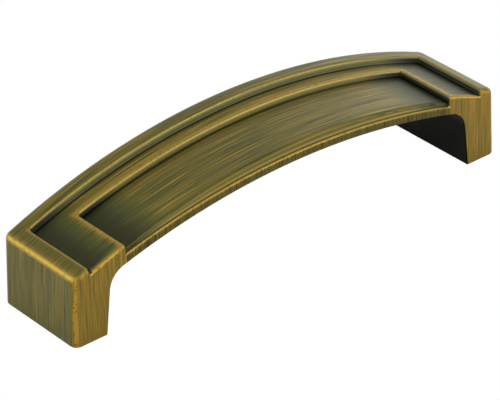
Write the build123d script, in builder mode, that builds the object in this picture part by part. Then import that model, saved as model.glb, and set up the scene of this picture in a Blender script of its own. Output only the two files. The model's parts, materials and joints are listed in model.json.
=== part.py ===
from build123d import *
from math import hypot, radians, sqrt, tan
import os

# A bowed cabinet pull with a two-step raised frame on its face, cast in one piece.
# X runs along the pull, Y from the open front edge to the framed back edge, Z out from the cabinet.
# The origin is the middle of the plane that both feet stand on.

# Overall form, in millimetres and degrees
hole_spacing = 96.0       # between the two screw holes
foot_length = 7.4         # of each foot at the cabinet, along X
width = 21.2              # across the pull, the same all along
projection = 24.6         # from the cabinet to the crown of the rim
end_height = 14.25        # from the cabinet to the rim at both ends
end_draft = 2.5           # lean of the two end faces

# The raised frame steps down from rim to band to panel, and is open at the front
rim_back = 3.6            # width of the rim along the back
rim_end = 3.6             # and at each end
rim_step = 1.45           # drop from the rim to the band
band_back = 3.7           # width of the band along the back
band_end = 8.15           # and at each end
band_step = 1.35          # drop from the band to the panel
lip_step = 1.65           # drop from the panel to the lip, in the middle
lip_step_end = 0.85       # and where the lip ends, because its bow is flatter
lip_ledge = 0.6           # width of the lip's ledge
lip_height = 1.75         # of the plain face from the lip down to the underside

# The finger gap under the bow
gap_draft = 6.5           # lean of the legs' inner faces
gap_corner = 4.5          # sweep between a leg and the underside

# Rounded edges
inner_corner = 0.7        # where back and end risers meet
post_round = 1.5          # the four upright corners
rim_round = 1.1           # along the rim, outside
riser_round = 0.6         # along the top of each riser, carried on along the front
riser_root = 0.25         # along the foot of the rim's riser, and where the band's meets the lip
panel_round = 0.75        # along the panel's front edge
gap_round = 0.3           # round the finger gap and under the feet

# Tapped screw hole in each foot
thread_radius = 2.0       # nominal, the thread itself stands inside it
thread_depth = 9.0        # of full thread
mouth_chamfer = 0.4       # at the face of the foot
drill_point = 118.0       # angle of the hole's conical end

beyond = 1.0              # how far a cutter runs past the surface it cuts
touch = 0.01              # within which a point counts as lying on a surface
round_share = 0.85        # most of a narrow wall that its rounded edge may take


def bow_radius(half_length, rise):
    """Radius of an arc from its rise over half its length."""
    return (half_length**2 + rise**2) / (2 * rise)


# Places across and along
half_width = width / 2
foot_outer = hole_spacing / 2 + foot_length / 2
foot_inner = hole_spacing / 2 - foot_length / 2
end_half = foot_outer - end_height * tan(radians(end_draft))
rim_half = end_half - rim_end
rim_edge = half_width - rim_back
band_half = rim_half - band_end
band_edge = rim_edge - band_back
ledge_edge = lip_ledge - half_width

# Rim, band and panel share one radius, one above the other
crown_radius = bow_radius(end_half, projection - end_height)
rim_centre = projection - crown_radius
band_centre = rim_centre - rim_step
panel_centre = band_centre - band_step

# Lip and underside share one centre
panel_rise = crown_radius - sqrt(crown_radius**2 - band_half**2)
lip_radius = bow_radius(band_half, panel_rise - lip_step + lip_step_end)
gap_radius = lip_radius - lip_height
gap_height = projection - rim_step - band_step - lip_step - lip_height
gap_centre = gap_height - gap_radius


def under_bow(half_length, height, draft, centre, radius):
    """Side view with two leaning ends under a bow, added to the open sketch."""
    top_half = half_length - height * tan(radians(draft))
    corners = (-half_length, 0), (half_length, 0), (top_half, height), (-top_half, height)
    Polygon(*corners, align=None)
    with Locations((0, centre)):
        Circle(radius, mode=Mode.INTERSECT)


def above_bow(half_length, centre, radius):
    """Side view of all that lies above a bow, added to the open sketch."""
    with Locations((0, projection / 2)):
        Rectangle(2 * half_length, projection + 2 * beyond)
    with Locations((0, centre)):
        Circle(radius, mode=Mode.SUBTRACT)


def recess(half_length, back_edge, centre):
    """Cutter for one step of the frame, from its back riser out past the front edge."""
    with BuildPart() as cutter:
        with BuildSketch(Plane.XZ.offset(-back_edge)):
            above_bow(half_length, centre, crown_radius)
        extrude(amount=back_edge + half_width + beyond)
        back_riser = cutter.faces().sort_by(Axis.Y)[-1]
        fillet(back_riser.edges().filter_by(Axis.Z), inner_corner)
    return cutter.part


def on_bow(edges, centre, radius):
    """The edges whose middle lies on a bow."""

    def lies_on(edge):
        middle = edge @ 0.5
        return abs(hypot(middle.X, middle.Z - centre) - radius) < touch

    return edges.filter_by(lies_on)


def along_bow(edges, centre, radius, across):
    """The edges that follow a bow, at one place across the width."""
    return on_bow(edges, centre, radius).filter_by_position(Axis.Y, across - touch, across + touch)


# One screw hole, its mouth at the origin
with BuildPart() as screw_hole:
    with BuildSketch(Plane.XZ):
        with BuildLine():
            Polyline(
                (0, -beyond),
                (thread_radius + mouth_chamfer + beyond, -beyond),
                (thread_radius, mouth_chamfer),
                (thread_radius, thread_depth),
                (0, thread_depth + thread_radius / tan(radians(drill_point / 2))),
                close=True,
            )
        make_face()
    revolve(axis=Axis.Z)

# The whole pull
with BuildPart() as pull:
    # Block with leaning ends under the rim's bow
    with BuildSketch(Plane.XZ):
        under_bow(foot_outer, projection, end_draft, rim_centre, crown_radius)
    extrude(amount=half_width, both=True)

    # Finger gap between the legs
    with BuildSketch(Plane.XZ) as gap:
        under_bow(foot_inner, gap_height, gap_draft, gap_centre, gap_radius)
        fillet(gap.vertices().group_by(Axis.Y)[-1], gap_corner)
    extrude(amount=half_width, both=True, mode=Mode.SUBTRACT)

    # Two steps down from the rim, and the lip along the front of the panel
    add(recess(rim_half, rim_edge, band_centre), mode=Mode.SUBTRACT)
    add(recess(band_half, band_edge, panel_centre), mode=Mode.SUBTRACT)
    with BuildSketch(Plane.XZ.offset(-ledge_edge)):
        above_bow(band_half, gap_centre, lip_radius)
    extrude(amount=lip_ledge + beyond, mode=Mode.SUBTRACT)

    # Tapped holes
    with GridLocations(hole_spacing, 0, 2, 1):
        add(screw_hole.part, mode=Mode.SUBTRACT)

    # Upright corners first, so that the rim's rounded edge runs on round them
    ends = pull.faces().group_by(Axis.X)[0] + pull.faces().group_by(Axis.X)[-1]
    fillet(ends.edges().filter_by(Axis.Y, reverse=True), post_round)
    fillet(along_bow(pull.edges(), rim_centre, crown_radius, half_width), rim_round)

    # Roots where the risers end at the front, so that their rounded tops run on along band and lip
    fillet(along_bow(pull.edges(), band_centre, crown_radius, rim_edge), riser_root)
    fillet(on_bow(pull.edges(), gap_centre, lip_radius).filter_by(Axis.Y), riser_root)
    fillet(along_bow(pull.edges(), rim_centre, crown_radius, rim_edge), riser_round)
    lip_round = min(riser_round, round_share * lip_ledge)
    fillet(along_bow(pull.edges(), band_centre, crown_radius, band_edge), lip_round)

    # The panel's soft front edge
    soft_edge = min(panel_round, round_share * lip_step_end)
    fillet(along_bow(pull.edges(), panel_centre, crown_radius, ledge_edge), soft_edge)

    # Finger gap and feet
    for side in (-half_width, half_width):
        fillet(along_bow(pull.edges(), gap_centre, gap_radius, side), gap_round)
    feet = pull.faces().filter_by(Plane.XY).group_by(Axis.Z)[0]
    fillet([edge for foot in feet for edge in foot.outer_wire().edges()], gap_round)

os.makedirs("parts", exist_ok=True)
pull.part.label = "handle"
export_step(pull.part, "parts/handle.step")
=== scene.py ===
# %% [markdown]
# A bowed cabinet pull in brushed antique brass.
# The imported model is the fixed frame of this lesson: the real shape at its real size, in metres.
# It could be remodelled here, but then two shapes would have to agree, so its own mesh is kept
# and this script gives it a finish, threads in its screw holes, a floor, lamps and a camera.

# %% Load the pull
import json
from math import cos, radians, sin

import bpy
from mathutils import Matrix, Vector


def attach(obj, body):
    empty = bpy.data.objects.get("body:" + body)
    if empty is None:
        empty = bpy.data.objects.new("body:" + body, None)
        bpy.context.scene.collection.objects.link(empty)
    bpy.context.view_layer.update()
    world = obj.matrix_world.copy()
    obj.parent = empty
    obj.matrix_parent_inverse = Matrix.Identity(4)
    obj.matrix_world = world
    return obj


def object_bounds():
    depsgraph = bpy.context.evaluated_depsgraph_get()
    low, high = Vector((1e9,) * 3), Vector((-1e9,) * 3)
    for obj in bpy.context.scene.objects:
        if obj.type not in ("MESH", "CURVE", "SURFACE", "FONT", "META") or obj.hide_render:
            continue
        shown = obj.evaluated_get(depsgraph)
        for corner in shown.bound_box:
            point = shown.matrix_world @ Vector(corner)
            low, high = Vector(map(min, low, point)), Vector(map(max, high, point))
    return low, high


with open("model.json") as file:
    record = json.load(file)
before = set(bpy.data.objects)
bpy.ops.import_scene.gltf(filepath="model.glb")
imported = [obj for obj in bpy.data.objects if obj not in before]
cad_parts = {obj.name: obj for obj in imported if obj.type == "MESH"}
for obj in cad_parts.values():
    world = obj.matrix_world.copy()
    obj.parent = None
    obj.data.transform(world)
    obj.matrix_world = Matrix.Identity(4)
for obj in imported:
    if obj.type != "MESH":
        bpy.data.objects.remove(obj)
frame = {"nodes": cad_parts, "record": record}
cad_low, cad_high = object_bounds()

MM = 0.001
scene = bpy.context.scene
pull = frame["nodes"]["handle"]
print("pull:", [round(side / MM, 2) for side in cad_high - cad_low], "mm")

# %% [markdown]
# The finish changes at the steps of the raised frame, so the script has to know where they are.
# They could be typed in again, but then they would be wrong as soon as the shape changes.
# So the mesh is felt with a ray from above, as with a depth gauge.
# Across the middle of the pull, the places where the height stays the same are its four levels.


# %% Measure the levels, in millimetres
def feel(start, direction):
    """The first point of the pull that a ray meets, from a start in millimetres."""
    return pull.ray_cast(Vector(start) * MM, direction)[1] / MM


def height(along, across):
    """Height of the top surface at one place."""
    return feel((along, across, 2 * cad_high.z / MM), (0, 0, -1)).z


front = cad_low.y / MM
back = cad_high.y / MM
end = cad_high.x / MM
gauge_step = 0.02
flat_enough = 0.0005
least_step = 0.2
levels = []
for number in range(int((back - front) / gauge_step) - 1):
    across = front + number * gauge_step
    here = height(0, across)
    is_level = abs(height(0, across + gauge_step) - here) < flat_enough
    if is_level and (not levels or here - levels[-1] > least_step):
        levels.append(here)
lip, panel, band, rim = levels
print("lip, panel, band and rim:", [round(level, 2) for level in levels])

# %% [markdown]
# Between two levels stands a wall, where the height passes the middle between them.
# Trying every place would be slow, so the stretch that holds the wall is halved again and again.
# Along the pull the levels follow its bow, so there each height is taken from the rim beside it.

# %% Find the walls, in millimetres
inset = 2.0
rim_line = back - inset
clear_of_end = end - inset
near_enough = 0.001


def below_rim(along, across):
    """How far the surface lies below the rim at the same place along the bow."""
    return height(along, rim_line) - height(along, across)


def wall_between(lower, upper, near, far, depth_at):
    """Place between near and far where the surface rises past the middle of two levels."""
    while abs(far - near) > near_enough:
        middle = (near + far) / 2
        if depth_at(middle) > rim - (lower + upper) / 2:
            near = middle
        else:
            far = middle
    return near


def across_middle(across):
    """Depth below the rim, across the middle of the pull."""
    return below_rim(0, across)


def along_middle(along):
    """Depth below the rim, along the middle of the pull."""
    return below_rim(along, 0)


ledge = wall_between(lip, panel, front + gauge_step, 0, across_middle)
band_back = wall_between(panel, band, 0, rim_line, across_middle)
rim_back = wall_between(band, rim, 0, rim_line, across_middle)
band_end = wall_between(panel, band, 0, clear_of_end, along_middle)
rim_end = wall_between(band, rim, 0, clear_of_end, along_middle)
print("across:", [round(place, 2) for place in (ledge, band_back, rim_back)])
print("along:", [round(place, 2) for place in (band_end, rim_end)])

# %% [markdown]
# The rim follows an arc, and both end faces lean inward a little, so that the casting leaves its mould.
# Both could be fitted to many points, but an arc is fixed by its rise over half its length,
# and a lean by its place at two heights, so three more touches of the gauge are enough.

# %% Measure the bow and the lean of the ends
low_touch = 2.0
high_touch = 10.0
fall = rim - height(rim_end, rim_line)
bow_radius = (rim_end**2 + fall**2) / (2 * fall)
low_end = -feel((-2 * end, 0, low_touch), (1, 0, 0)).x
high_end = -feel((-2 * end, 0, high_touch), (1, 0, 0)).x
end_lean = (low_end - high_end) / (high_touch - low_touch)
end_foot = low_end + low_touch * end_lean
print("bow radius:", round(bow_radius, 1), "end at the foot:", round(end_foot, 2))

# %% [markdown]
# Antique brass is a plated casting that is blackened all over and then brushed.
# The brush takes the black off wherever it can reach, most of all along edges, so gold shows there,
# while corners, the underside and the ends of the recess stay dark.
# It could be painted by hand, but the rule above is simple enough for shader nodes to follow.
# Two small functions do the writing: one for colours, one that adds a node with its links.


# %% Two helpers for nodes
def linear(hex_colour):
    """A colour written as sRGB hex, as the linear colour that a shader needs."""
    channels = [int(hex_colour[i:i + 2], 16) / 255 for i in (0, 2, 4)]
    return [c / 12.92 if c <= 0.04045 else ((c + 0.055) / 1.055) ** 2.4 for c in channels] + [1.0]


def first_output(node):
    """The output that a node gives its result by."""
    return next(output for output in node.outputs if output.enabled)


def add(tree, kind, *values, **settings):
    """A new node with its settings, then values or other nodes' outputs, socket by socket."""
    made = tree.nodes.new(kind)
    for name, setting in settings.items():
        setattr(made, name, setting)
    sockets = [socket for socket in made.inputs if socket.enabled]
    for socket, value in zip(sockets, values):
        if isinstance(value, bpy.types.Node):
            value = first_output(value)
        if isinstance(value, bpy.types.NodeSocket):
            tree.links.new(value, socket)
        elif value is not None:
            socket.default_value = value
    return made


MATH = "ShaderNodeMath"
MIX = "ShaderNodeMix"
RANGE = "ShaderNodeMapRange"
NOISE = "ShaderNodeTexNoise"
SOFT = {"interpolation_type": "SMOOTHSTEP"}
print("mid grey:", [round(channel, 3) for channel in linear("808080")])

# %% [markdown]
# Every rule of the finish needs to know where a point lies, in millimetres.
# Object coordinates are in metres and stay with the piece, so they are scaled once, here.
# The pull mirrors itself about its middle, so only the distance along from the middle counts,
# and the way a face looks along the pull is counted from the middle outward too.

# %% Where a point lies
finish = bpy.data.materials.new("brushed_antique_brass")
finish.use_nodes = True
tree = finish.node_tree

coordinates = add(tree, "ShaderNodeTexCoord")
place = add(tree, "ShaderNodeVectorMath", coordinates.outputs["Object"], operation="SCALE")
place.inputs["Scale"].default_value = 1 / MM
x, y, z = add(tree, "ShaderNodeSeparateXYZ", place).outputs
along = add(tree, MATH, x, operation="ABSOLUTE")
x_sign = add(tree, MATH, x, operation="SIGN")
surface = add(tree, "ShaderNodeNewGeometry")
normal = add(tree, "ShaderNodeSeparateXYZ", surface.outputs["Normal"])
normal_x, normal_y, normal_z = normal.outputs
outward = add(tree, MATH, normal_x, x_sign, operation="MULTIPLY")
print("nodes for place and direction:", len(tree.nodes))

# %% [markdown]
# The frame has four floors, from the rim down to the lip, and each has its own way of being brushed.
# Vertex groups could mark them, but the walls between them are known, so a comparison is enough.
# A wall counts as part of the floor at its foot.

# %% Which floor a point belongs to
touch = 0.02
rim_side = add(tree, MATH, rim_end, along, operation="SUBTRACT")
rim_rear = add(tree, MATH, rim_back, y, operation="SUBTRACT")
into_rim = add(tree, MATH, rim_side, rim_rear, operation="MINIMUM")
past_rim = add(tree, MATH, into_rim, -touch, operation="GREATER_THAN")

band_side = add(tree, MATH, band_end, along, operation="SUBTRACT")
band_rear = add(tree, MATH, band_back, y, operation="SUBTRACT")
into_band = add(tree, MATH, band_side, band_rear, operation="MINIMUM")
past_band = add(tree, MATH, into_band, -touch, operation="GREATER_THAN")

before_ledge = add(tree, MATH, y, ledge + touch, operation="LESS_THAN")
past_ledge = add(tree, MATH, past_band, before_ledge, operation="MULTIPLY")
step_side = add(tree, MIX, past_band, rim_side, band_side)
step_rear = add(tree, MIX, past_band, rim_rear, band_rear)
print("floors begin at:", [round(wall, 2) for wall in (rim_back, band_back, ledge)], "mm across")

# %% [markdown]
# Each floor follows the bow, so its height changes along the pull.
# What counts is how deep a point lies below its own floor, and a wall above it has a negative depth.
# The lip has a flatter bow than the panel and comes up to half its drop at both ends.

# %% How deep below its own floor
lip_end_share = 0.5
along_squared = add(tree, MATH, along, along, operation="MULTIPLY")
bow_inside = add(tree, MATH, bow_radius**2, along_squared, operation="SUBTRACT")
bow_height = add(tree, MATH, bow_inside, operation="SQRT")
rim_height = add(tree, MATH, bow_height, rim - bow_radius, operation="ADD")
under_rim = add(tree, MATH, rim_height, z, operation="SUBTRACT")
under_band = add(tree, MATH, past_rim, band - rim, under_rim, operation="MULTIPLY_ADD")
under_panel = add(tree, MATH, past_band, panel - band, under_band, operation="MULTIPLY_ADD")
lip_rise = (panel - lip) * lip_end_share / band_end**2
lip_drop = add(tree, MATH, along_squared, lip_rise, lip - panel, operation="MULTIPLY_ADD")
depth = add(tree, MATH, past_ledge, lip_drop, under_panel, operation="MULTIPLY_ADD")
off_floor = add(tree, MATH, depth, operation="ABSOLUTE")
print("lip below the panel:", round(panel - lip, 2), "mm in the middle")

# %% [markdown]
# An outer edge is where two faces meet, so a point is near one when it is near two faces at once.
# The larger of the two distances tells how far off that edge is, and the nearest edge counts.
# Where two faces meet in a rounding, the line of wear lies a little below the top.
# The back edge was brushed less, so the back counts as lying further out than it does.

# %% How far from the nearest outer edge
back_spared = 0.5
lip_rounding = 0.45
end_share = 0.35
end_fall = 0.45
post_share = 0.3
top_worn_at = 0.2
lip_worn_at = 0.1
outer_rounding = 0.1

end_line = add(tree, MATH, z, -end_lean, end_foot, operation="MULTIPLY_ADD")
from_end = add(tree, MATH, end_line, along, operation="SUBTRACT")
from_front = add(tree, MATH, y, front, operation="SUBTRACT")
from_back = add(tree, MATH, back + back_spared, y, operation="SUBTRACT")
from_front_edge = add(tree, MATH, past_ledge, -lip_rounding, from_front, operation="MULTIPLY_ADD")
from_side = add(tree, MATH, from_front_edge, from_back, operation="MINIMUM")

worn_at = add(tree, MIX, past_ledge, top_worn_at, lip_worn_at)
from_worn = add(tree, MATH, depth, worn_at, operation="SUBTRACT")
off_worn = add(tree, MATH, from_worn, operation="ABSOLUTE")
lip_narrowing = add(tree, MATH, past_ledge, 1.0, operation="ADD")
from_top = add(tree, MATH, off_worn, lip_narrowing, operation="MULTIPLY")

end_scaled = add(tree, MATH, from_end, end_share, operation="MULTIPLY")
down_end = add(tree, MATH, from_top, end_fall, operation="MULTIPLY")
top_end_edge = add(tree, MATH, end_scaled, down_end, operation="MAXIMUM")
top_side_edge = add(tree, MATH, from_side, from_top, operation="MAXIMUM")
top_edge = add(tree, MATH, top_end_edge, top_side_edge, operation="MINIMUM")
post_corner = add(tree, MATH, from_end, from_side, operation="MAXIMUM")
post_edge = add(tree, MATH, post_corner, post_share, operation="MULTIPLY")
sharp_edge = add(tree, MATH, top_edge, post_edge, operation="MINIMUM")
outer_edge = add(tree, MATH, sharp_edge, outer_rounding, operation="SUBTRACT")
print("nodes up to the outer edges:", len(tree.nodes))

# %% [markdown]
# A step's edge runs along the top of a wall, and its distance is counted in the same way:
# back from the wall on the floor above, and down from that floor on the rounding.

# %% How far from the nearest edge of a step
rim_rounding = 0.22
band_rounding = 0.4
end_rounding = 0.6
down_share = 0.42
no_wall = 99.0

past_rim_end = add(tree, MATH, -end_rounding, rim_side, operation="SUBTRACT")
past_rim_back = add(tree, MATH, -rim_rounding, rim_rear, operation="SUBTRACT")
on_rim = add(tree, MATH, past_rim_end, past_rim_back, operation="MAXIMUM")
past_band_end = add(tree, MATH, -end_rounding, band_side, operation="SUBTRACT")
past_band_back = add(tree, MATH, -band_rounding, band_rear, operation="SUBTRACT")
on_band = add(tree, MATH, past_band_end, past_band_back, operation="MAXIMUM")
on_panel = add(tree, MATH, y, ledge, operation="SUBTRACT")
on_lower = add(tree, MATH, past_ledge, no_wall, on_panel, operation="MULTIPLY_ADD")
below_band = add(tree, MIX, past_band, on_band, on_lower)
from_wall = add(tree, MIX, past_rim, on_rim, below_band)
down_wall = add(tree, MATH, depth, down_share, operation="MULTIPLY")
step_edge = add(tree, MATH, from_wall, down_wall, operation="MAXIMUM")
edge = add(tree, MATH, outer_edge, step_edge, operation="MINIMUM")
print("nodes up to the step edges:", len(tree.nodes))

# %% [markdown]
# The blackening stays longest in an inner corner, at the foot of a wall.
# Such a corner is near when both the wall and the floor are near.

# %% How far from the nearest inner corner
up_share = 3.0
ledge_clearance = 0.5
into_ledge = add(tree, MATH, ledge + ledge_clearance, y, operation="SUBTRACT")
into_panel = add(tree, MIX, past_ledge, into_band, into_ledge)
into_step = add(tree, MIX, past_band, into_rim, into_panel)
into_floor = add(tree, MIX, past_rim, no_wall, into_step)
up_wall = add(tree, MATH, off_floor, up_share, operation="MULTIPLY")
corner = add(tree, MATH, into_floor, up_wall, operation="MAXIMUM")
print("nodes up to the inner corners:", len(tree.nodes))

# %% [markdown]
# The brush ran along the bow on top, and up and down on the ends and sides.
# Which way a stroke runs depends on where the face looks, so the normal decides that.
# The walls inside the frame were brushed along with the top, though they stand upright.

# %% Which way a face looks
half_turned = 0.7
lip_front = 0.55
frame_depth = 0.8
end_facing = add(tree, MATH, normal_x, operation="ABSOLUTE")
side_facing = add(tree, MATH, normal_y, operation="ABSOLUTE")
top_facing = add(tree, MATH, normal_z, operation="ABSOLUTE")
off_front = add(tree, MATH, from_front, lip_front, operation="GREATER_THAN")
in_frame = add(tree, MATH, depth, frame_depth, operation="LESS_THAN")
framed_wall = add(tree, MATH, off_front, in_frame, operation="MULTIPLY")
flatness = add(tree, MATH, top_facing, framed_wall, operation="ADD")
is_upright = add(tree, MATH, flatness, half_turned, operation="LESS_THAN")
more_end = add(tree, MATH, end_facing, side_facing, operation="GREATER_THAN")
is_end = add(tree, MATH, is_upright, more_end, operation="MULTIPLY")
is_side = add(tree, MATH, is_upright, is_end, operation="SUBTRACT")
is_rear = add(tree, MATH, y, 0.0, operation="GREATER_THAN")
print("nodes up to the directions:", len(tree.nodes))

# %% [markdown]
# The brush leaves fine strokes. An anisotropic shader gives their gleam but not their lines,
# so a stretched noise draws them: each axis is divided by how long or wide a stroke is there.
# Real brush lines are some hundredths of a millimetre wide, too fine to show in the picture,
# so they are drawn as wide as the bundles of lines that the eye makes out.

# %% Brush strokes
stroke_length = 16.0
stroke_width = 0.13
upright_length = 9.0
x_long = add(tree, MATH, x, stroke_length, operation="DIVIDE")
y_wide = add(tree, MATH, y, stroke_width, operation="DIVIDE")
x_wide = add(tree, MATH, x, stroke_width, operation="DIVIDE")
z_long = add(tree, MATH, z, upright_length, operation="DIVIDE")

# The third number keeps the three sets of strokes apart in the noise
side_layer = 22.0
end_layer = 43.0
over_top = add(tree, "ShaderNodeCombineXYZ", y_wide, x_long, 0.0)
over_side = add(tree, "ShaderNodeCombineXYZ", x_wide, z_long, side_layer)
over_end = add(tree, "ShaderNodeCombineXYZ", y_wide, z_long, end_layer)
over_upright = add(tree, MIX, is_side, over_top, over_side, data_type="VECTOR")
strokes_at = add(tree, MIX, is_end, over_upright, over_end, data_type="VECTOR")

# A smaller scale gives bundles that are wider and longer than one stroke
bundle_scale = 0.3
stroke_detail = 3.0
fine_roughness = 0.6
bundle_roughness = 0.5
fine = add(tree, NOISE, strokes_at, 1.0, stroke_detail, fine_roughness)
bundles = add(tree, NOISE, strokes_at, bundle_scale, stroke_detail, bundle_roughness)
print("strokes:", stroke_width, "by", stroke_length, "mm")

# %% [markdown]
# A brush can't get into the ends of the recess, so its floors grow darker there.
# From here on the finish is one number, its tone, from 0 for black to 1 for bright gold.

# %% How far the brush reaches
reach_starts = 1.0
reach_ends = 11.0
floor_depth = 0.5
reach_in = add(tree, RANGE, step_side, reach_starts, reach_ends, **SOFT)
near_floor = add(tree, MATH, depth, floor_depth, operation="LESS_THAN")
inner_floor = add(tree, MATH, near_floor, off_front, operation="MULTIPLY")
framed = add(tree, MATH, past_rim, inner_floor, operation="MULTIPLY")
reach = add(tree, MIX, framed, 1.0, reach_in)
unreached_tone = -0.35
unreached = add(tree, RANGE, reach, 0.0, 1.0, unreached_tone, 0.0)
print("the brush reaches fully", reach_ends, "mm from an end wall")

# %% [markdown]
# Each floor and face has its own tone before the strokes, and the upright sides are painted lighter to
# offset the shadowed paper reflected in them.
# A material for each could hold it, but then they would have to meet without a seam,
# so one tone is lifted or lowered from place to place.

# %% Tone of each floor and face
brushed_tone = 0.52
# Painted light: the upright sides are lifted against the shadowed paper that they reflect
side_painted_light = 0.06
end_lift = -0.09
lip_lift = -0.26
rim_lift = -0.04
band_lift = 0.12

side_ground = add(tree, MATH, is_side, side_painted_light, brushed_tone, operation="MULTIPLY_ADD")
end_ground = add(tree, MATH, is_end, end_lift, side_ground, operation="MULTIPLY_ADD")
lip_ground = add(tree, MATH, past_ledge, lip_lift, end_ground, operation="MULTIPLY_ADD")
below_rim_lift = add(tree, MIX, past_band, band_lift, 0.0)
level_lift = add(tree, MIX, past_rim, rim_lift, below_rim_lift)
print("tone of the panel:", brushed_tone, "and of the band:", round(brushed_tone + band_lift, 2))

# %% [markdown]
# Close to the walls at the back both floors are painted lighter, as painted light that offsets the wall's
# dark reflection in them.
# Over the panel's rounded front edge it only slid, so the tone falls where that edge turns to the front.
# The distance from the wall tells the first, and the normal tells the second.

# %% Tone along the back walls, with painted light, and over the front edge
# Painted light: the floors near the back walls are lifted to offset the wall's dark reflection
band_painted_light = 0.14
panel_painted_light = 0.22
foot_near = 0.2
foot_far = 1.6
wall_painted_light = add(tree, MIX, past_band, band_painted_light, panel_painted_light)
painted_light_near_wall = add(tree, RANGE, step_rear, foot_near, foot_far, wall_painted_light, 0.0)
level_and_painted_lift = add(tree, MATH, painted_light_near_wall, past_rim, level_lift, operation="MULTIPLY_ADD")
reached_lift = add(tree, MATH, level_and_painted_lift, reach, operation="MULTIPLY")
top_lift = add(tree, MIX, is_upright, reached_lift, 0.0)
ground = add(tree, MATH, lip_ground, top_lift, operation="ADD")

turn_starts = -0.5
turn_ends = -0.72
panel_turn = -0.12
over_edge = add(tree, RANGE, normal_y, turn_starts, turn_ends)
panel_edge = add(tree, MATH, over_edge, past_band, operation="MULTIPLY")
turned = add(tree, MIX, is_upright, panel_edge, 0.0)
turn_lift = add(tree, MATH, reach, panel_turn, operation="MULTIPLY")
ground_here = add(tree, MATH, turned, turn_lift, ground, operation="MULTIPLY_ADD")
print("nodes up to the tone of each floor:", len(tree.nodes))

# %% [markdown]
# The strokes then make the tone lighter and darker: fine ones a lot, broad bundles of them a little.
# They fade where the brush can't reach and where the panel's front edge turns over.
# On upright faces half of the fine ones are left, but nearly all on the lip's narrow face.

# %% Strokes in the tone
fine_low = 0.25
fine_high = 0.75
fine_strength = 0.46
bundle_low = 0.3
bundle_high = 0.7
bundle_strength = 0.10
upright_fine = 0.5
lip_fine = 0.9
end_bundles = 1.2
side_bundles = 0.7
kept_over_edge = 0.3
dark_over_edge = 0.6

fine_part = add(tree, RANGE, fine, fine_low, fine_high, -fine_strength, fine_strength)
bundle_part = add(tree, RANGE, bundles, bundle_low, bundle_high, -bundle_strength, bundle_strength)
upright_share = add(tree, MIX, past_ledge, upright_fine, lip_fine)
fine_share = add(tree, MIX, is_upright, reach, upright_share)
upright_bundles = add(tree, MIX, is_side, end_bundles, side_bundles)
bundle_share = add(tree, MIX, is_upright, reach, upright_bundles)
bundles_here = add(tree, MATH, bundle_part, bundle_share, operation="MULTIPLY")
stroke_part = add(tree, MATH, fine_part, fine_share, bundles_here, operation="MULTIPLY_ADD")
strokes_left = add(tree, MIX, turned, 1.0, kept_over_edge)
strokes_here = add(tree, MATH, stroke_part, strokes_left, operation="MULTIPLY")
dark_left = add(tree, MIX, turned, 1.0, dark_over_edge)
reached = add(tree, MATH, unreached, dark_left, ground_here, operation="MULTIPLY_ADD")
brushed = add(tree, MATH, reached, strokes_here, operation="ADD")
print("strokes change the tone by up to", fine_strength + bundle_strength)

# %% [markdown]
# Along the edges the black is worn off and gold shows.
# A line of one width would look painted, so the strokes move its limit: single ones reach further in.
# The edges of the band are worn furthest in, and the panel's soft front edge hardly at all.

# %% How far in the edges are worn
short_stroke = 0.35
long_stroke = 0.75
floor_least = 0.2
floor_most = 0.9
upright_least = 0.15
upright_most = 0.5
lip_limit = 0.6
band_widening = 2.6
panel_wear = 0.15

floor_limit = add(tree, RANGE, fine, short_stroke, long_stroke, floor_least, floor_most)
is_band = add(tree, MATH, past_rim, past_band, operation="SUBTRACT")
widening = add(tree, MIX, is_band, 1.0, band_widening)
widened = add(tree, MATH, floor_limit, widening, operation="MULTIPLY")
top_limit = add(tree, MIX, past_ledge, widened, lip_limit)
upright_limit = add(tree, RANGE, fine, short_stroke, long_stroke, upright_least, upright_most)
wear_limit = add(tree, MIX, is_upright, top_limit, upright_limit)
wear_ratio = add(tree, MATH, edge, wear_limit, operation="DIVIDE")
soft_wear = add(tree, MATH, reach, panel_wear, operation="MULTIPLY")
low_wear = add(tree, MIX, past_ledge, soft_wear, 1.0)
most_wear = add(tree, MIX, past_band, 1.0, low_wear)
wear = add(tree, RANGE, wear_ratio, 1.0, 0.0, 0.0, most_wear, **SOFT)
print("edges are worn", floor_least, "to", floor_most, "mm in, on the band", band_widening, "times as far")

# %% [markdown]
# Worn gold isn't even. Small specks of dark are left in it, the darkest of them on upright faces.
# The lip and the edges of the band are polished a little more, and the sloping top edges of both ends are
# polished and lifted by a painted highlight.
# The specks follow no stroke, so a noise in plain millimetres places them.

# %% Worn gold and its specks
speck_size = 0.6
speck_detail = 2.0
speck_roughness = 0.5
speck_starts = 0.54
speck_full = 0.68
worn_tone = 0.76
speck_tone = 0.62
upright_speck_tone = 0.46
specks = add(tree, NOISE, place, 1 / speck_size, speck_detail, speck_roughness)
speck_here = add(tree, MIX, is_upright, speck_tone, upright_speck_tone)
specked = add(tree, RANGE, specks, speck_starts, speck_full, worn_tone, speck_here)

# A face slopes at an end where it looks outward and up at once
slope_starts = 0.2
slope_full = 0.5
# Polish and a painted highlight on the ends' sloping top edges
end_polish_and_highlight = 0.05
lip_polish = 0.12
band_polish = 0.06
end_slope = add(tree, MATH, outward, normal_z, operation="MULTIPLY")
polish_and_highlight = add(tree, RANGE, end_slope, slope_starts, slope_full, 0.0, end_polish_and_highlight)
end_polished_and_lit = add(tree, MATH, specked, polish_and_highlight, operation="ADD")
lip_polished = add(tree, MATH, past_ledge, lip_polish, end_polished_and_lit, operation="MULTIPLY_ADD")
polished = add(tree, MATH, is_band, band_polish, lip_polished, operation="MULTIPLY_ADD")
worn = add(tree, MIX, wear, brushed, polished)
print("worn gold has tone", worn_tone, "and specks", speck_tone)

# %% [markdown]
# The walls of the frame are too low for the brush, so they keep an even grey-brown of their own.
# A wall could be picked by its face, but a rounded edge belongs to it only in part,
# so the normal decides: the more squarely a face looks to the front or to the middle, the more it is wall.

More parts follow.
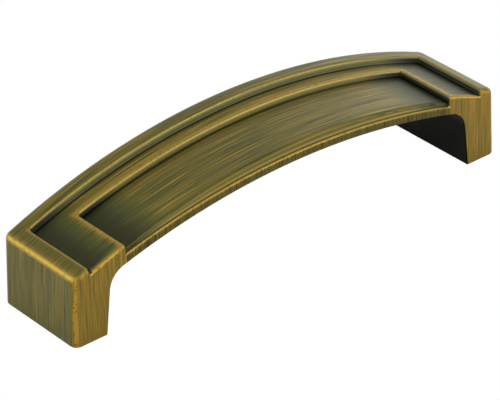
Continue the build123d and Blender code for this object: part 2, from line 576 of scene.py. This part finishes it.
# %% Walls of the frame
front_steep_starts = -0.75
front_steep_full = -0.98
end_steep_starts = -0.4
end_steep_full = -0.75
front_steep = add(tree, RANGE, normal_y, front_steep_starts, front_steep_full, **SOFT)
end_steep = add(tree, RANGE, outward, end_steep_starts, end_steep_full, **SOFT)
wall = add(tree, MATH, front_steep, framed_wall, operation="MULTIPLY")
end_wall = add(tree, MATH, end_steep, framed_wall, operation="MULTIPLY")
print("all wall once the normal passes", front_steep_full, "across or", end_steep_full, "along")

# %% [markdown]
# A long wall gets a painted sheen: it is lightest along its top at the back, and at its foot above the lip.
# Toward the ends of the recess it darkens like the floors, and the end walls are dark all over, partly from
# blackening and partly as painted shade.

# %% Tone of the walls, with painted sheen
back_wall_tone = 0.42
panel_wall_lift = 0.10
# The end walls' dark tone is partly blackening and partly painted shade
end_wall_tone_and_shade = 0.30
# Painted sheen on the long walls: lighter along the top at the back and at the foot above the lip
rear_top_sheen = 0.16
lip_foot_sheen = 0.16
lip_top_lift = -0.06
rounding_lift = -0.2
least_reached = 0.3

# A height above the floor counts as a negative depth
high_on_wall = -0.9
low_at_rear = -0.4
low_above_lip = -0.3
wall_ground = add(tree, MATH, past_band, panel_wall_lift, back_wall_tone, operation="MULTIPLY_ADD")
rear_painted_sheen = add(tree, RANGE, depth, high_on_wall, low_at_rear, rear_top_sheen, 0.0)
lip_painted_sheen = add(tree, RANGE, depth, high_on_wall, low_above_lip, lip_top_lift, lip_foot_sheen)
front_grade = add(tree, MIX, past_ledge, rounding_lift, lip_painted_sheen)
wall_grade = add(tree, MIX, is_rear, front_grade, rear_painted_sheen)
graded_wall = add(tree, MATH, wall_grade, wall_ground, operation="ADD")
wall_reach = add(tree, RANGE, reach_in, 0.0, 1.0, least_reached, 1.0)
reached_wall = add(tree, MATH, graded_wall, wall_reach, operation="MULTIPLY")
back_walled = add(tree, MIX, wall, worn, reached_wall)
walled = add(tree, MIX, end_wall, back_walled, end_wall_tone_and_shade)
print("nodes up to the walls:", len(tree.nodes))

# %% [markdown]
# At the foot of each wall a dark line is left, which makes the steps stand out.
# An ambient occlusion node could find it too, but the distance from each corner is known already.

# %% Dark corners
dark_starts = 0.3
dark_ends = 0.75
band_darkest = 0.25
panel_darkest = 0.45
end_dark_starts = 0.1
end_dark_ends = 0.9
end_darkest = 0.5
darkest = add(tree, MIX, past_band, band_darkest, panel_darkest)
foot = add(tree, RANGE, corner, dark_starts, dark_ends, darkest, 1.0, **SOFT)
end_foot_shade = add(tree, RANGE, step_side, end_dark_starts, end_dark_ends, end_darkest, 1.0)
end_shade = add(tree, MIX, framed, 1.0, end_foot_shade)
back_shaded = add(tree, MATH, walled, foot, operation="MULTIPLY")
shaded = add(tree, MATH, back_shaded, end_shade, operation="MULTIPLY")
print("dark lines:", dark_ends, "mm wide, at the ends", end_dark_ends)

# %% [markdown]
# No brush gets under the bow, onto the legs' inner faces, under the feet or into the screw holes.
# There the casting keeps its blackening, and its near-black also paints in the shade under the bow.
# A face could be marked by hand as hidden, but one that lies below the lip and looks down or inward always
# is. The holes' places come with the frame's record.

# %% Underside and screw holes
# Near-black on hidden faces: blackening left there, and painted shade under the bow
bare_and_shaded_tone = 0.05
lip_margin = 0.5
away_starts = -0.2
away_full = -0.55
turned_away = add(tree, MATH, outward, normal_z, operation="MINIMUM")
above_gap = add(tree, MATH, under_rim, rim - lip + lip_margin, operation="LESS_THAN")
hidden = add(tree, MATH, above_gap, turned_away, operation="ADD")
bare_and_shaded = add(tree, RANGE, hidden, away_full, away_starts, bare_and_shaded_tone, 1.0, **SOFT)
open_tone = add(tree, MATH, shaded, bare_and_shaded, operation="MULTIPLY")

hole_tone = 0.15
hole_margin = 0.3
hole_end = 2.0
holes = [mount for mount in frame["record"]["mounts"] if mount["kind"] == "threaded_hole"]
hole_along = abs(holes[0]["pos_m"][0]) / MM
hole_middle = holes[0]["pos_m"][2] / MM
hole_radius = holes[0]["dims"]["r_mm"]
hole_length = holes[0]["dims"]["length_mm"]

in_plan = add(tree, "ShaderNodeCombineXYZ", along, y, 0.0)
from_hole = add(tree, "ShaderNodeVectorMath", in_plan, (hole_along, 0, 0), operation="DISTANCE")
hole_away = from_hole.outputs["Value"]
near_hole = add(tree, MATH, hole_away, hole_radius + hole_margin, operation="LESS_THAN")
below_top = add(tree, MATH, z, hole_length + hole_end, operation="LESS_THAN")
in_hole = add(tree, MATH, near_hole, below_top, operation="MULTIPLY")
tone = add(tree, MIX, in_hole, open_tone, hole_tone)
print("holes:", len(holes), "of radius", hole_radius, "mm, at", hole_along, "mm from the middle")

# %% [markdown]
# Now the tone becomes a colour: black, olive brown, brass and bright gold.
# A mix of two colours would turn straight from one to the other, but the blackening thins out
# by way of olive brown, so a ramp holds all the colours in between.

# %% Colour
PALETTE = [
    (0.0, "050504"),
    (0.25, "45462A"),
    (0.42, "5C5D2C"),
    (0.55, "726A2B"),
    (0.7, "927C35"),
    (0.85, "B0923B"),
    (1.0, "D6BC6E"),
]

colour = add(tree, "ShaderNodeValToRGB", tone)
ramp = colour.color_ramp.elements
while len(ramp) < len(PALETTE):
    ramp.new(0.5)
for element, (position, hex_colour) in zip(ramp, PALETTE):
    element.position = position
    element.color = linear(hex_colour)
print("colours from black to gold:", len(ramp))

# %% [markdown]
# Upright faces look warmer, because they were brushed dry and hold less of the brown,
# and so does the panel's soft front edge. An end is only half as warm where it isn't worn.
# The walls inside the frame look greyer, because more of the blackening is left on them and because the grey
# paints in their pale sheen:
# those at the back, those at the ends, and the foot of the one above the lip.
# More ramps could hold these colours, but a tint over one ramp keeps them together.

# %% Warmer and greyer places
WARMER = (1.15, 0.93, 0.70, 1.0)
GREYER_WITH_SHEEN = (0.98, 1.03, 1.5, 1.0)
TINT = {"data_type": "RGBA", "blend_type": "MULTIPLY"}
end_coolness = -0.5
grey_starts = -0.75
grey_full = -0.45

unworn = add(tree, MATH, 1.0, wear, operation="SUBTRACT")
cool_end = add(tree, MATH, is_end, unworn, operation="MULTIPLY")
half_at_end = add(tree, MATH, cool_end, end_coolness, is_upright, operation="MULTIPLY_ADD")
upright_warmth = add(tree, MATH, half_at_end, wall, operation="SUBTRACT", use_clamp=True)
near_foot = add(tree, RANGE, depth, grey_starts, grey_full)
lip_foot = add(tree, MATH, past_ledge, near_foot, operation="MULTIPLY")
not_soft = add(tree, MATH, lip_foot, is_rear, operation="MAXIMUM")
soft_edge = add(tree, MIX, not_soft, turned, 0.0)
warmth = add(tree, MATH, upright_warmth, soft_edge, operation="MAXIMUM")
warm = add(tree, MIX, warmth, colour, WARMER, **TINT)
# The grey tint on the frame's walls is part blackening, part painted sheen
rear_wall = add(tree, MATH, wall, is_rear, operation="MULTIPLY")
lip_wall = add(tree, MATH, wall, lip_foot, operation="MULTIPLY")
long_wall = add(tree, MATH, rear_wall, lip_wall, operation="MAXIMUM")
grey_sheen_wall = add(tree, MATH, long_wall, end_wall, operation="MAXIMUM")
brass = add(tree, MIX, grey_sheen_wall, warm, GREYER_WITH_SHEEN, **TINT)
print("nodes up to the colour:", len(tree.nodes))

# %% [markdown]
# Worn gold is smoother than the blackening, and the strokes stand out as relief, so light catches them.
# Clear lacquer seals what was brushed. It gathers as a bead on the back walls, which gives their pale gleam.
# On the grey walls the blackening covers the metal, so they shine less like metal.

# %% Gloss, relief and lacquer
black_roughness = 0.46
gold_roughness = 0.34
black_tone = 0.1
gold_tone = 0.9
relief_strength = 0.25
relief_height = 0.02
blackened_metal = 0.35
lacquer_weight = 0.14
lacquer_roughness = 0.3
sealed_tone = 0.35
bead_weight = 0.4
bead_starts = -0.4
bead_full = -0.8

gloss = add(tree, RANGE, tone, black_tone, gold_tone, black_roughness, gold_roughness)
relief = add(tree, "ShaderNodeBump", relief_strength, relief_height * MM)
tree.links.new(first_output(fine), relief.inputs["Height"])
open_wall = add(tree, MATH, grey_sheen_wall, foot, operation="MULTIPLY")
metal = add(tree, MIX, open_wall, 1.0, blackened_metal)
thin_lacquer = add(tree, RANGE, tone, black_tone, sealed_tone, 0.0, lacquer_weight)
back_slope = add(tree, RANGE, normal_y, bead_starts, bead_full, 0.0, bead_weight)
rear_bead = add(tree, MATH, framed_wall, is_rear, operation="MULTIPLY")
bead = add(tree, MATH, rear_bead, wall_reach, operation="MULTIPLY")
lacquer = add(tree, MATH, back_slope, bead, thin_lacquer, operation="MULTIPLY_ADD")

shader = tree.nodes["Principled BSDF"]
shader.inputs["Coat Roughness"].default_value = lacquer_roughness
for name, result in {
    "Base Color": brass,
    "Metallic": metal,
    "Roughness": gloss,
    "Coat Weight": lacquer,
    "Normal": relief,
}.items():
    tree.links.new(first_output(result), shader.inputs[name])
pull.material_slots[0].material = finish
print(finish.name, "has", len(tree.nodes), "nodes")

# %% [markdown]
# Each foot is tapped for a machine screw, so a ridge winds up inside the plain bore of the model.
# A screw modifier could turn it, but a node tree keeps its sizes as inputs that are easy to change:
# a spiral for the path, a trapezoid for the ridge's section, and one copy of the ridge for each hole.
# By the rule for such threads the ridge is a quarter of the pitch wide on top and seven eighths at its foot.

# %% Sizes of the thread, in millimetres
pitch = 0.7
crest_width = pitch / 4
root_width = 7 / 8 * pitch
ridge_height = 0.38
embedded = 0.02
path_radius = hole_radius + embedded - ridge_height / 2
thread_low = hole_middle - hole_length / 2 + root_width / 2
turns = (hole_length - root_width) / pitch

THREAD_INPUTS = {
    "Turns": ("NodeSocketFloat", turns),
    "Pitch": ("NodeSocketFloat", pitch * MM),
    "Path Radius": ("NodeSocketFloat", path_radius * MM),
    "Ridge Height": ("NodeSocketFloat", ridge_height * MM),
    "Root Width": ("NodeSocketFloat", root_width * MM),
    "Crest Width": ("NodeSocketFloat", crest_width * MM),
    "First Hole": ("NodeSocketVector", (-hole_along * MM, 0, thread_low * MM)),
    "Second Hole": ("NodeSocketVector", (hole_along * MM, 0, thread_low * MM)),
    "Finish": ("NodeSocketMaterial", finish),
}
print("thread:", round(turns, 1), "turns at", pitch, "mm")

# %% [markdown]
# The spiral of the node turns left, so it is reversed to turn right, as a screw's thread does.
# With its normals set to look outward, the section is turned a quarter so that its crest looks inward.

# %% Node tree of the thread
turn_steps = 32
threading = bpy.data.node_groups.new("threading", "GeometryNodeTree")
for name, (kind, _) in THREAD_INPUTS.items():
    threading.interface.new_socket(name, in_out="INPUT", socket_type=kind)
threading.interface.new_socket("Thread", in_out="OUTPUT", socket_type="NodeSocketGeometry")
given = add(threading, "NodeGroupInput").outputs

rise_total = add(threading, MATH, given["Turns"], given["Pitch"], operation="MULTIPLY")
radius = given["Path Radius"]
spiral = add(
    threading, "GeometryNodeCurveSpiral",
    turn_steps, given["Turns"], radius, radius, rise_total, True,
)
path = add(threading, "GeometryNodeSetCurveNormal", spiral, mode="Z_UP")
section = add(
    threading, "GeometryNodeCurvePrimitiveQuadrilateral",
    None, given["Ridge Height"], given["Root Width"], given["Crest Width"], 0.0, mode="TRAPEZOID",
)
turned_section = add(threading, "GeometryNodeTransform", section, None, (0, 0, radians(90)))
ridge = add(threading, "GeometryNodeCurveToMesh", path, turned_section)
ridge.inputs["Fill Caps"].default_value = True

places = add(
    threading, "GeometryNodeMeshLine",
    len(holes), given["First Hole"], given["Second Hole"], mode="END_POINTS",
)
copies = add(threading, "GeometryNodeInstanceOnPoints", places, None, ridge)
real = add(threading, "GeometryNodeRealizeInstances", copies)
finished = add(threading, "GeometryNodeSetMaterial", real, None, given["Finish"])
add(threading, "NodeGroupOutput", finished)
print("node tree:", len(threading.nodes), "nodes")

# %% [markdown]
# A modifier runs the tree, and its result is kept as a plain mesh, so nothing depends on the tree later.
# The finish finds the holes by itself, so the ridges carry the same material as the pull.

# %% Make the thread
threads = bpy.data.objects.new("screw_threads", bpy.data.meshes.new("screw_threads"))
scene.collection.objects.link(threads)
maker = threads.modifiers.new("threading", "NODES")
maker.node_group = threading
for socket in threading.interface.items_tree:
    if socket.in_out == "INPUT":
        _, value = THREAD_INPUTS[socket.name]
        maker[socket.identifier] = value
made = threads.evaluated_get(bpy.context.evaluated_depsgraph_get())
thread_mesh = bpy.data.meshes.new_from_object(made)
threads.modifiers.clear()
threads.data = thread_mesh
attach(threads, "root")

points = [vertex.co / MM for vertex in thread_mesh.vertices]
radii = [Vector((abs(point.x) - hole_along, point.y)).length for point in points]
heights = [point.z for point in points]
print("ridges from radius", round(min(radii), 2), "to", round(max(radii), 2))
print("and from height", round(min(heights), 2), "to", round(max(heights), 2))

# %% [markdown]
# The pull lies on white paper, which runs on past the picture and throws light up at the upright faces.
# In the photograph the paper is plain white. More lamps could make it so, but they would wash out the brass,
# so the camera alone sees plain white there, and the pull sees matt paper with its own shadow on it.
# The paper lies a hair below the feet, because two faces in the same place would flicker.

# %% White paper
# Half a side in metres, and the gap below the feet in millimetres
paper_half = 3.0
paper_gap = 0.02
paper_roughness = 0.9
paper_corners = [(-1, -1), (1, -1), (1, 1), (-1, 1)]
paper_points = [(paper_half * i, paper_half * j, -paper_gap * MM) for i, j in paper_corners]
paper_mesh = bpy.data.meshes.new("paper")
paper_mesh.from_pydata(paper_points, [], [(0, 1, 2, 3)])
paper = bpy.data.objects.new("paper", paper_mesh)
scene.collection.objects.link(paper)

matt_white = bpy.data.materials.new("matt_white_paper")
matt_white.use_nodes = True
paper_tree = matt_white.node_tree
paper_shader = paper_tree.nodes["Principled BSDF"]
paper_shader.inputs["Base Color"].default_value = linear("F6F6F6")
paper_shader.inputs["Roughness"].default_value = paper_roughness
for_camera = add(paper_tree, "ShaderNodeLightPath").outputs["Is Camera Ray"]
plain_white = add(paper_tree, "ShaderNodeEmission", linear("FFFFFF"), 1.0)
paper_look = add(paper_tree, "ShaderNodeMixShader", for_camera, paper_shader, plain_white)
paper_output = paper_tree.nodes["Material Output"]
paper_tree.links.new(first_output(paper_look), paper_output.inputs["Surface"])
paper_mesh.materials.append(matt_white)
print("paper:", 2 * paper_half, "m square")

# %% [markdown]
# Brass shows what it reflects, so the light is mostly a white room rather than single lamps.
# The room is brightest low down, where the upright faces look, and dimmer overhead,
# because the floors of the frame look up and are darker in the photograph.
# The Standard view shows each colour as it was written.

# %% White room
ROOM_LIGHT = [(0.0, 1.0), (0.12, 1.0), (0.34, 0.60), (0.52, 0.60), (0.8, 0.44)]
room_strength = 1.4
scene.view_settings.view_transform = "Standard"
room = bpy.data.worlds.new("white_room")
scene.world = room
room.use_nodes = True
light = room.node_tree
direction = add(light, "ShaderNodeTexCoord")
rise = add(light, "ShaderNodeSeparateXYZ", direction.outputs["Generated"]).outputs["Z"]
dimming = add(light, "ShaderNodeValToRGB", rise)
stops = dimming.color_ramp.elements
while len(stops) < len(ROOM_LIGHT):
    stops.new(0.5)
for stop, (position, share) in zip(stops, ROOM_LIGHT):
    stop.position = position
    stop.color = (share, share, share, 1)
background = light.nodes["Background"]
light.links.new(first_output(dimming), background.inputs["Color"])
background.inputs["Strength"].default_value = room_strength
print("room light:", len(stops), "steps from the floor up")

# %% [markdown]
# Three soft lamps do what the room can't: one draws the gold line along the front edges,
# one lifts the upright faces, mostly by way of the paper, and one from behind lights the rim
# and the top of the left end.


# %% Soft lamps
def softbox(name, direction, distance, side, power):
    """A square soft lamp that faces the pull from one direction, in metres and watts."""
    lamp = bpy.data.objects.new(name, bpy.data.lights.new(name, "AREA"))
    lamp.data.size = side
    lamp.data.energy = power
    away = Vector(direction).normalized()
    lamp.location = away * distance
    lamp.rotation_euler = away.to_track_quat("Z", "Y").to_euler()
    scene.collection.objects.link(lamp)
    print(name, "at", [round(c, 2) for c in lamp.location], "m with", power, "W")


softbox("front_lamp", (0.55, -0.74, 0.38), distance=1.2, side=0.8, power=3.5)
softbox("paper_lamp", (-0.30, -0.50, 0.80), distance=1.5, side=1.5, power=6.5)
softbox("back_lamp", (-0.80, 0.45, 0.42), distance=1.2, side=1.2, power=4.0)

# %% [markdown]
# The photograph was taken from the front and left, from well above, with a long lens.
# The camera is placed by angles round a point that it aims at, because those can be read off
# the picture, and it is then rolled a little, as the camera in the photograph was.

# %% Camera
view_azimuth = radians(39.675)
view_elevation = radians(31.5)
view_roll = radians(-1.131)
view_distance = 589.2 * MM
view_aim = Vector((-1.937, 0, 6.161)) * MM
focal_pixels = 3144.9
picture_width = 500

camera = bpy.data.objects.new("camera", bpy.data.cameras.new("camera"))
camera.data.lens = camera.data.sensor_width * focal_pixels / picture_width
ahead = Vector((
    sin(view_azimuth) * cos(view_elevation),
    cos(view_azimuth) * cos(view_elevation),
    -sin(view_elevation),
))
turn = ahead.to_track_quat("-Z", "Y").to_matrix() @ Matrix.Rotation(view_roll, 3, "Z")
camera.matrix_world = Matrix.Translation(view_aim - ahead * view_distance) @ turn.to_4x4()
scene.collection.objects.link(camera)
scene.camera = camera
print("lens:", round(camera.data.lens, 1), "mm")
